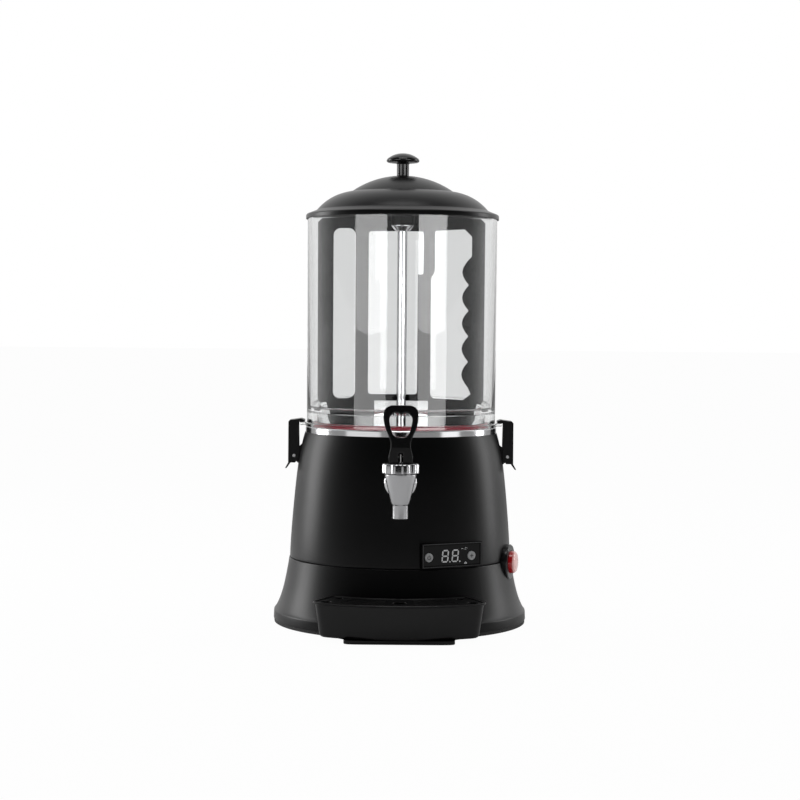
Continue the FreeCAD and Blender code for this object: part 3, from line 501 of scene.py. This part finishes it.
def pebble(outline, levels, at=(0.0, 0.0)):
    """A closed form from a star-shaped outline: each level is (height, inset), and both ends close at the
    middle. The inset moves every outline point straight towards the middle by that length."""
    ring = np.asarray(outline, float)
    ring = np.vstack([ring, ring[:1]])
    size = np.linalg.norm(ring, axis=1)[:, None]
    rows = [np.column_stack([ring * (1 - inset / size), np.full(len(ring), z)]) for z, inset in levels]
    for z, where in ((levels[0][0], 0), (levels[-1][0], len(rows) + 1)):
        rows.insert(where, np.column_stack([ring * 0.0, np.full(len(ring), z)]))
    grid = np.array(rows)
    grid[:, :, 0] += at[0]
    grid[:, :, 1] += at[1]
    return grid


ear = eased([(-0.0075, -0.009), (0.0075, -0.009), (0.0075, 0.009), (-0.0075, 0.009)], 0.0025)
ear_levels = [(0.2413, 0.0005), (0.2417, 0.0), (0.2446, 0.0), (0.245, 0.0005)]
for side, x in (("right", 0.1179), ("left", -0.1179)):
    put("tank_ear_" + side, *woven(pebble(ear, ear_levels, (x, 0.0))), clear, "clear_tank")

silicone = Finish("red_silicone", Base_Color=(0.42, 0.03, 0.055, 1.0), Roughness=0.45)
silicone.feed("Roughness", silicone.noise(200.0) * 0.12 + 0.4)
seal_line = eased([(0.1, 0.2407), (0.1085, 0.2407), (0.1085, 0.2455), (0.1, 0.2455)], 0.0008)
put("seal_ring", *woven(turned(seal_line, full_turn), around=True), silicone, "seal_red",
    replaced=["tank_seal"])
pale_silicone = Finish("pale_silicone", Base_Color=(0.7, 0.68, 0.65, 1.0), Roughness=0.5)
pale_silicone.feed("Roughness", pale_silicone.noise(200.0) * 0.1 + 0.45)
finished("seat_cup", pale_silicone)
finished("tap_gasket", pale_silicone)

# Lid. A moulded black dome in two sweeps with a crease between them, a rolled hem over the tank's edge and a
# collar inside it. The mushroom knob is screwed on from below.

lid_plastic = Finish("satin_black_moulding", Roughness=0.33, Specular_IOR_Level=0.25)
tint = lid_plastic.noise(7.0, 3.0)
lid_plastic.feed("Base Color", lid_plastic.blend(tint, deepest_black, (0.005, 0.005, 0.0053)))
sparkle = lid_plastic.noise(1100.0, 2.0)
lid_plastic.feed("Roughness", tint * 0.05 + sparkle * 0.04 + 0.28)
lid_plastic.bump(sparkle, 0.00004, 0.4)


def arc_through(a, b, c, count):
    """The circle's arc through three (radius, height) points."""
    a, b, c = (np.asarray(p, float) for p in (a, b, c))
    lhs = 2 * np.array([b - a, c - a])
    rhs = np.array([b @ b - a @ a, c @ c - a @ a])
    centre = np.linalg.solve(lhs, rhs)
    size = np.linalg.norm(a - centre)
    bearing = np.unwrap([math.atan2(*(p - centre)[::-1]) for p in (a, b, c)])
    t = np.linspace(bearing[0], bearing[2], count)
    return centre + size * np.column_stack([np.cos(t), np.sin(t)])


dome_top = 0.552
crease = (0.064, 0.5315)
crease_depth = 0.0205
dome_radius = (crease[0]**2 + crease_depth**2) / (2 * crease_depth)
dome_mid = dome_top - dome_radius + math.sqrt(dome_radius**2 - 0.032**2)
upper_dome = arc_through((0.0, dome_top), (0.032, dome_mid), crease, 26)
lower_dome = arc_through(crease, (0.08945, 0.52315), (0.1069, 0.508), 26)
inner_upper = upper_dome - (0.0, 0.0022)
inner_lower = lower_dome - (0.0012, 0.0018)
hem_corners = [(0.107, 0.508), (0.1187, 0.5034), (0.12, 0.502), (0.12, 0.497), (0.1183, 0.497), (0.1183, 0.5)]
collar_corners = [(0.1113, 0.5), (0.111, 0.4956), (0.109, 0.4956), (0.1085, 0.5), (0.1047, 0.502)]
hem = eased([lower_dome[-2], *hem_corners, *collar_corners, inner_lower[-2]], 0.0011, closed=False)
lid_line = np.vstack([upper_dome[1:], lower_dome[1:-2], hem, inner_lower[::-1][1:-1], inner_upper[::-1][1:]])
lid_line = np.vstack([[(0.0, dome_top)], lid_line])
put("lid_dome", *woven(turned(lid_line, full_turn)), lid_plastic, "lid_black", "lid",
    replaced=["lid_shell"], sharp=24.0)
knob_gloss = Finish("glossy_black_moulding", Base_Color=(0.004, 0.004, 0.0043, 1.0), Roughness=0.2,
                    Specular_IOR_Level=0.35)
knob_gloss.feed("Roughness", knob_gloss.noise(40.0) * 0.06 + 0.17)
stem_foot = 0.5521
knob_line = np.vstack([
    [(0.0, stem_foot), (0.0076, stem_foot)],
    eased([(0.0076, 0.553), (0.0076, 0.5672), (0.0193, 0.5686), (0.0208, 0.5706), (0.0196, 0.573)], 0.0016,
          closed=False),
    arc_through((0.0196, 0.573), (0.0104, 0.57838), (0.0, 0.58), 16)[1:],
])
put("lid_knob_form", *woven(turned(knob_line, full_turn[::3])), knob_gloss, "lid_black", "lid",
    replaced=["lid_knob"])

# Stirrer. A black moulded paddle bent from one plate, with three windows and a scalloped mixing edge, hangs
# from the shaft between a steel cone and a nut.

paddle_black = Finish("paddle_moulding", Roughness=0.45, Specular_IOR_Level=0.15)
streaks = paddle_black.noise(30.0, 3.0, (1.0, 1.0, 0.3))
paddle_black.feed("Base Color", paddle_black.blend(streaks, deepest_black, (0.006, 0.006, 0.0063)))
paddle_black.feed("Roughness", streaks * 0.1 + 0.36)
refined("stirrer_paddle", paddle_black, "stirrer", edge=0.0007)
cone = refined("stirrer_cone", polished, "stirrer", edge=0.0003)
nylon = Finish("white_nylon", Base_Color=(0.7, 0.69, 0.65, 1.0), Roughness=0.5)
nylon.feed("Roughness", nylon.noise(300.0) * 0.1 + 0.45)
finished("stirrer_nut", nylon)

# Latches. A moulded black lever on each side turns on a pin in a bracket on the housing, and hooks over an
# ear of the tank.

latch_black = Finish("latch_moulding", Base_Color=(0.005, 0.005, 0.0053, 1.0), Roughness=0.4,
                     Specular_IOR_Level=0.3)
latch_grain = latch_black.noise(900.0, 2.0)
latch_black.feed("Roughness", latch_grain * 0.08 + 0.34)
latch_black.bump(latch_grain, 0.00005, 0.4)
for side in ("left", "right"):
    refined("latch_lever_" + side, latch_black, "latch_" + side, edge=0.0005)
    refined("latch_bracket_" + side, latch_black, edge=0.0004)
    refined("latch_pin_" + side, polished, edge=0.0002)

# Tap. A cast and brushed body tapers to a plain spout, under a bonnet with ten lobes, with a polished collar
# against the housing. The glossy black loop handle lifts the stem when it is pulled.

cast = Finish("satin_chrome", Base_Color=(0.46, 0.46, 0.47, 1.0), Metallic=1.0, Roughness=0.24)
cast_grain = cast.noise(500.0, 3.0, (1.0, 1.0, 0.2))
cast.feed("Roughness", cast_grain * 0.12 + 0.18)
cast.bump(cast_grain, 0.00003, 0.3)


def bonnet_grid():
    """The bonnet as a ring with ten soft lobes, at the place and size of the CAD piece."""
    points = np.array([v.co for v in frame["nodes"]["tap_bonnet"].data.vertices])
    low, high = points.min(axis=0), points.max(axis=0)
    middle = (low + high) / 2
    size = float(np.linalg.norm(points[:, :2] - middle[:2], axis=1).max())
    bore = float(np.linalg.norm(points[:, :2] - middle[:2], axis=1).min())
    a = full_turn[::2]
    lobe_depth = 0.085
    lobes = 1 - lobe_depth * np.abs(np.sin(5 * (a + math.pi / 10))) ** 3
    near_foot = [(0.0, 0.0022), (0.0006, 0.0008), (0.0016, 0.0)]
    near_top = [(-0.002, 0.0), (-0.0008, 0.0007), (-0.0001, 0.002), (0.0, 0.0028)]
    lines = [(low[2] + step, size * lobes - inset) for step, inset in near_foot]
    lines += [(high[2] + step, size * lobes - inset) for step, inset in near_top]
    lines += [(z, np.full(len(a), bore)) for z in (high[2], low[2])]
    rows = []
    for z, r in lines:
        x = middle[0] + r * np.sin(a)
        y = middle[1] - r * np.cos(a)
        rows.append(np.column_stack([x, y, np.full(len(a), z)]))
    return np.array(rows)


tap = [
    refined("tap_body", cast, edge=0.0003),
    put("tap_bonnet_form", *woven(bonnet_grid(), around=True), cast, "steel", replaced=["tap_bonnet"]),
    refined("tap_collar", polished, sharp=30.0, edge=0.0003),
    refined("valve_stem", polished, "valve"),
]
handle = refined("tap_handle", knob_gloss, "handle")
skin = handle.modifiers.new("skin", "REMESH")
skin.mode = "VOXEL"
skin.voxel_size = 0.0006
skin.use_smooth_shade = True
soften = handle.modifiers.new("soften", "SMOOTH")
soften.iterations = 10
soften.factor = 0.5
refined("handle_pin", polished, "handle")

# Control panel. A glossy black window in a black frame, with two grey keys, two pale digits and small signs
# by the right key. The signs and digits are flat prints. The thin grey line around the frame is a painted
# highlight on its edge.

panel_gloss = Finish("panel_gloss", Base_Color=(0.003, 0.003, 0.0032, 1.0), Roughness=0.08,
                     Specular_IOR_Level=0.2)
panel_gloss.feed("Roughness", panel_gloss.noise(60.0) * 0.05 + 0.06)
refined("control_bezel", panel_gloss, edge=0.0006)
refined("control_window", panel_gloss, edge=0.0002)
key_grey = Finish("key_grey", Base_Color=(0.42, 0.425, 0.43, 1.0), Roughness=0.4)
key_grey.feed("Roughness", key_grey.noise(400.0) * 0.1 + 0.35)
for side in ("left", "right"):
    refined("control_key_" + side, key_grey, "key_" + side, edge=0.0002)
board_green = Finish("circuit_board", Base_Color=(0.02, 0.12, 0.05, 1.0), Roughness=0.4)
board_green.feed("Roughness", board_green.noise(300.0) * 0.1 + 0.35)
finished("control_board", board_green)
display_dark = Finish("display_body", Base_Color=(0.03, 0.03, 0.034, 1.0), Roughness=0.5)
display_dark.feed("Roughness", display_dark.noise(300.0) * 0.1 + 0.45)
finished("display_module", display_dark)

panel_out = np.array([math.sin(panel_azimuth), -math.cos(panel_azimuth), 0.0])
bezel_points = np.array([v.co for v in frame["nodes"]["control_bezel"].data.vertices])
panel_face = float((bezel_points @ panel_out).max())


def on_panel(flat, depth, thickness=0.00025):
    """Turns (across, height) outlines into thin closed plates on the panel, depth behind its front face."""
    flat = np.asarray(flat, float)
    count = flat.shape[1]
    across = np.array([math.cos(panel_azimuth), math.sin(panel_azimuth), 0.0])
    up = np.array([0.0, 0.0, 1.0])
    base = flat[:, :, :1] * across + flat[:, :, 1:] * up + panel_out * (panel_face - depth)
    points = np.concatenate([base, base + panel_out * thickness], axis=1).reshape(-1, 3)
    start = np.arange(len(flat))[:, None] * 2 * count
    ring = np.arange(count)
    nearer = (start + count + ring).tolist()
    farther = (start + ring[::-1]).tolist()
    beside = np.stack([ring, np.roll(ring, -1), np.roll(ring, -1) + count, ring + count], axis=1)
    walls = (start[:, :, None] + beside[None]).reshape(-1, 4).tolist()
    return points.tolist(), nearer + farther + walls


print_white = Finish("display_grey_print", Base_Color=(0.8, 0.81, 0.82, 1.0), Roughness=0.5)
print_white.feed("Roughness", print_white.noise(500.0) * 0.1 + 0.45)
bar = np.array([(-0.5, 0.0), (-0.36, 0.5), (0.36, 0.5), (0.5, 0.0), (0.36, -0.5), (-0.36, -0.5)])


def digit_bars(middle, height, width, thickness):
    """The seven bars of a digit 8, each a six-sided plate: three lie across and four stand."""
    tall = height / 2
    lying = [(0.0, tall), (0.0, 0.0), (0.0, -tall)]
    standing = [(x, z) for x in (-width / 2, width / 2) for z in (tall / 2, -tall / 2)]
    flat = bar * (width * 0.86, thickness)
    upright = bar[:, ::-1] * (thickness, tall * 0.9)
    shapes = [flat + p for p in lying] + [upright + p for p in standing]
    slant = 0.09
    shapes = np.array(shapes)
    shapes[:, :, 0] += shapes[:, :, 1] * slant + middle[0]
    shapes[:, :, 1] += middle[1]
    return shapes


print_depth = 0.0008
digits = [digit_bars((x, 0.0943), height=0.0132, width=0.0074, thickness=0.0016) for x in (-0.0093, 0.0041)]
put("display_digits", *on_panel(np.vstack(digits), print_depth), print_white, "display_grey")
circle = np.linspace(0.0, 2 * math.pi, 17)[:-1]
dot = np.column_stack([np.cos(circle), np.sin(circle)])
points = [dot * 0.0009 + (x, 0.0875) for x in (-0.0031, 0.0103)]
put("display_points", *on_panel(points, print_depth), print_white, "display_grey")


def ring_pieces(middle, radius, thickness, start=0.0, end=2 * math.pi, count=20):
    """An open or closed ring as short four-sided plates."""
    a = np.linspace(start, end, count + 1)
    inner = np.column_stack([np.sin(a), np.cos(a)]) * (radius - thickness / 2) + middle
    outer = np.column_stack([np.sin(a), np.cos(a)]) * (radius + thickness / 2) + middle
    return np.stack([inner[:-1], inner[1:], outer[1:], outer[:-1]], axis=1)


def stroke(start, end, thickness):
    """A straight stroke between two points as one four-sided plate."""
    start, end = np.array(start), np.array(end)
    along = (end - start) / np.linalg.norm(end - start)
    beside = np.array([-along[1], along[0]]) * thickness / 2
    return np.array([[start - beside, end - beside, end + beside, start + beside]])


key_height = 0.0935
left_sign = np.array([-0.031, key_height])
right_sign = np.array([0.026, key_height])
key_print = np.vstack([
    ring_pieces(left_sign, 0.0021, 0.0006, 0.6, 2 * math.pi - 0.6),
    stroke(left_sign + (0.0, 0.0006), left_sign + (0.0, 0.0028), 0.0006),
])
dark_print = Finish("dark_print", Base_Color=(0.02, 0.02, 0.02, 1.0), Roughness=0.5)
dark_print.feed("Roughness", dark_print.noise(500.0) * 0.1 + 0.45)
key_print_depth = -0.0002
put("key_left_sign", *on_panel(key_print, key_print_depth), dark_print, "panel_black", "key_left")
key_print = np.vstack([
    stroke(right_sign + (-0.0022, 0.0), right_sign + (0.0022, 0.0), 0.0007),
    stroke(right_sign + (0.0, -0.0022), right_sign + (0.0, 0.0022), 0.0007),
])
put("key_right_sign", *on_panel(key_print, key_print_depth), dark_print, "panel_black", "key_right")
small_signs = np.vstack([
    ring_pieces(np.array([0.0185, 0.1022]), 0.0013, 0.0005),
    stroke((0.0125, 0.1022), (0.0148, 0.1022), 0.0006),
    stroke((0.0165, 0.0846), (0.0182, 0.0866), 0.0007),
    stroke((0.0182, 0.0866), (0.0199, 0.0846), 0.0007),
    stroke((0.0165, 0.0846), (0.0199, 0.0846), 0.0007),
])
put("panel_signs", *on_panel(small_signs, print_depth), print_white, "display_grey")
# Painted highlight: a thin grey line along the frame's edge, wider at the top and left, stands in for light
# caught by the bezel's edge.
painted_edge_highlight = Finish("painted_highlight_line", Base_Color=(0.055, 0.055, 0.058, 1.0), Roughness=0.3)
painted_edge_highlight.feed("Roughness", painted_edge_highlight.noise(500.0) * 0.1 + 0.25)
half_wide, low, high = 0.0388, 0.0819, 0.1088
painted_highlight_strokes = np.vstack([
    stroke((-half_wide, high), (half_wide, high), 0.0006),
    stroke((-half_wide, low), (-half_wide, high), 0.0006),
    stroke((half_wide, low), (half_wide, high), 0.0005),
    stroke((-half_wide, low), (half_wide, low), 0.0004),
])
put("panel_border", *on_panel(painted_highlight_strokes, 0.0, 0.0001), painted_edge_highlight, "panel_black")

# Power button. A lit push button: a black bezel, a red collar and a pale, milky lens that stands out of it.

bezel_black = Finish("bezel_moulding", Base_Color=(0.01, 0.01, 0.0105, 1.0), Roughness=0.3)
bezel_black.feed("Roughness", bezel_black.noise(500.0) * 0.1 + 0.25)
refined("button_bezel", bezel_black, edge=0.0005)
lens = Finish("red_lens", Roughness=0.18, Coat_Weight=0.5, Coat_Roughness=0.06)
button_out = (math.sin(button_azimuth), -math.cos(button_azimuth), 0.0)
where = lens.node("ShaderNodeTexCoord", {}, {}, "Object")
outward = lens.node("ShaderNodeVectorMath", {"operation": "DOT_PRODUCT"}, {0: where, 1: button_out}, "Value")
button_points = np.array([v.co for v in frame["nodes"]["power_button"].data.vertices])
lens_tip = float((button_points @ np.array(button_out)).max())
milky = outward.between(lens_tip - 0.003, lens_tip - 0.0015)
frost = lens.noise(600.0, 3.0)
lens.feed("Base Color", lens.blend(milky, (0.42, 0.004, 0.008), (0.86, 0.5, 0.48)))
lens.feed("Emission Color", lens.blend(milky, (0.2, 0.0, 0.002), (0.5, 0.28, 0.26)))
lens.shader.inputs["Emission Strength"].default_value = 0.2
lens.feed("Roughness", frost * 0.2 + 0.14)
refined("power_button", lens, "button", edge=0.0004)
finished("switch_body", nylon)

# Drip tray. A fan-shaped moulding with a rolled lip follows the skirt, on a stepped foot, and holds a slotted
# grille with a hole under the spout.

tray_black = Finish("tray_moulding", Roughness=0.35, Specular_IOR_Level=0.3)
tray_grain = tray_black.noise(1000.0, 2.0)
tray_tint = tray_black.noise(12.0, 3.0)
tray_colours = ((0.0035, 0.0035, 0.0037), (0.0055, 0.0055, 0.0058))
tray_black.feed("Base Color", tray_black.blend(tray_tint, *tray_colours))
tray_black.feed("Roughness", tray_tint * 0.05 + tray_grain * 0.05 + 0.3)
tray_black.bump(tray_grain, 0.00005, 0.4)
tray_middle = (0.0, -0.175)
tray_top = 0.0465
tray_lean = 0.1325
tray_front = 0.199
tray_side_near = (0.076, -0.118)
tray_side_far = 0.1015
tray_play = 0.0006
tray_corner = 0.013
foot_middle = (0.0, -0.1765)
foot_half = (0.064, 0.0145)
foot_squareness = 8


def mirrored(half):
    """A half outline on the right, from the front's middle to the back's, and its mirror image as a ring."""
    return np.vstack([half, half[::-1][1:-1] * (-1, 1)])


def tray_outline(z, inset):
    """The tray's outline at a height, drawn in by a length: a front arc, rounded corners, straight sides that
    lean in towards the foot, and a back arc that keeps its clearance to the skirt."""
    drop = tray_lean * (tray_top - z)
    front = tray_front - drop - inset
    far = np.array([tray_side_far - drop - inset, 0.0])
    far[1] = -math.sqrt(front**2 - far[0] ** 2)
    near = np.array([tray_side_near[0] - drop - inset, tray_side_near[1]])
    along = (far - near) / np.linalg.norm(far - near)
    back = float(np.interp(z, skirt_line[:, 1], skirt_line[:, 0]))
    if z < rim_top:
        back = max(rim_radius, back)
    back += tray_play + max(inset, 0.0)
    reached = near @ along
    near = near + along * (-reached + math.sqrt(reached**2 - near @ near + back**2))
    bearing = math.asin(far[0] / front) - tray_corner / front
    arc = np.linspace(0.0, bearing, 17)
    front_points = front * np.column_stack([np.sin(arc), -np.cos(arc)])
    t = np.linspace(0.0, 1.0, 9)[1:, None]
    corner_end = far - along * tray_corner
    corner = (1 - t) ** 2 * front_points[-1] + 2 * t * (1 - t) * far + t**2 * corner_end
    side = np.linspace(corner_end, near, 5)[1:]
    arc = np.linspace(math.asin(near[0] / back), 0.0, 15)[1:]
    rear = back * np.column_stack([np.sin(arc), -np.cos(arc)])
    ring = mirrored(np.vstack([front_points, corner, side, rear]))
    return np.column_stack([ring, np.full(len(ring), z)])


def foot_outline(z, inset):
    """The foot's outline: a soft-cornered rectangle, a point for each point of the tray's."""
    bearing = tray_outline(0.005, 0.0)[:, :2] - tray_middle
    bearing /= np.linalg.norm(bearing, axis=1)[:, None]
    share = np.abs(bearing) / (foot_half[0] - inset, foot_half[1] - inset)
    size = (share**foot_squareness).sum(axis=1) ** (-1 / foot_squareness)
    ring = bearing * size[:, None] + foot_middle
    return np.column_stack([ring, np.full(len(ring), z)])


foot_levels = [(0.0004, 0.0012), (0.0007, 0.0003), (0.0012, 0.0), (0.0048, 0.0)]
outer_wall = [(0.005, 0.0045), (0.0054, 0.0022), (0.0066, 0.0007), (0.009, 0.0), (0.0435, 0.0)]
lip = [(0.0443, -0.0008), (0.0445, -0.0018), (0.045, -0.0022), (0.0459, -0.0022), (0.0464, -0.0017)]
lip_top = [(tray_top, -0.001), (tray_top, 0.0012), (0.0463, 0.0017)]
inner_wall = [(0.0457, 0.002), (0.01, 0.002), (0.0078, 0.0028), (0.007, 0.0045)]
rows = [foot_outline(z, inset) for z, inset in foot_levels]
rows += [tray_outline(z, inset) for z, inset in outer_wall + lip + lip_top + inner_wall]
rows.insert(0, rows[0] * 0.0 + (*foot_middle, foot_levels[0][0]))
rows.append(rows[-1] * 0.0 + (*tray_middle, inner_wall[-1][0]))
grid = np.array(rows)
grid = np.concatenate([grid, grid[:, :1]], axis=1)
put("drip_tray_form", *woven(grid), tray_black, "tray_black", "tray", replaced=["drip_tray"], sharp=40.0)
refined("drip_grille", tray_black, "grille", edge=0.0004)

# Cable gland. A rubber bush at the back, where the mains lead goes in.

refined("cable_gland", foot_rubber, edge=0.0004)

# What each lamp lights.

for name in ("clear_tank", "lid_knob_form", "tank_ear_left", "tank_ear_right"):
    lit_by_strips.objects.link(bpy.data.objects[name])
for piece in [bowl, column, cone, handle] + tap:
    lit_by_cards.objects.link(piece)
for piece in bpy.data.objects:
    if piece.type == "MESH" and not piece.name.startswith(("clear_tank", "tank_ear")):
        lit_by_sides.objects.link(piece)
